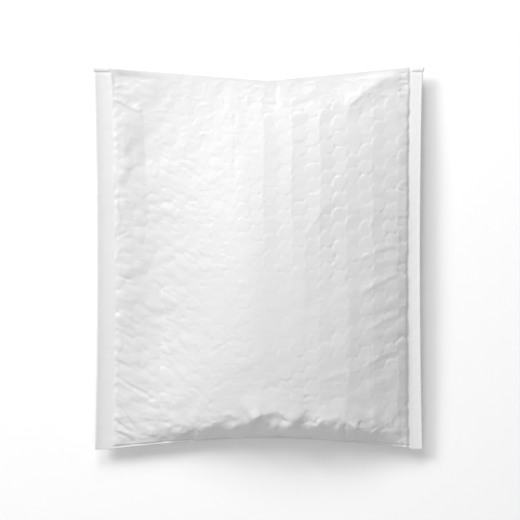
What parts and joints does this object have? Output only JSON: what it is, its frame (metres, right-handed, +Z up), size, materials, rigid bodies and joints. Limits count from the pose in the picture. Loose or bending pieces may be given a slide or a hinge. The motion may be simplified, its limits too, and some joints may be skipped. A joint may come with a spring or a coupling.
{
  "type": "padded envelope",
  "caption": "Closed white padded mailing envelope, filled and lying flat on its back, with welded side edges and the flap folded over to the back.",
  "frame": {"origin": "on the surface the envelope lies on, under the centre of its outline", "axes": "+Z up, away from the surface and out of the front of the envelope; +Y along the length, towards the head where the flap folds over; +X across the width, towards the welded edge on the right as seen from above"},
  "size_m": [0.239, 0.2771, 0.0385],
  "materials": {
    "white_film": "satin white film with the bubble lining showing through and fine creases"
  },
  "bodies": {
    "root": {"padded_envelope": "white_film"}
  },
  "joints": []
}
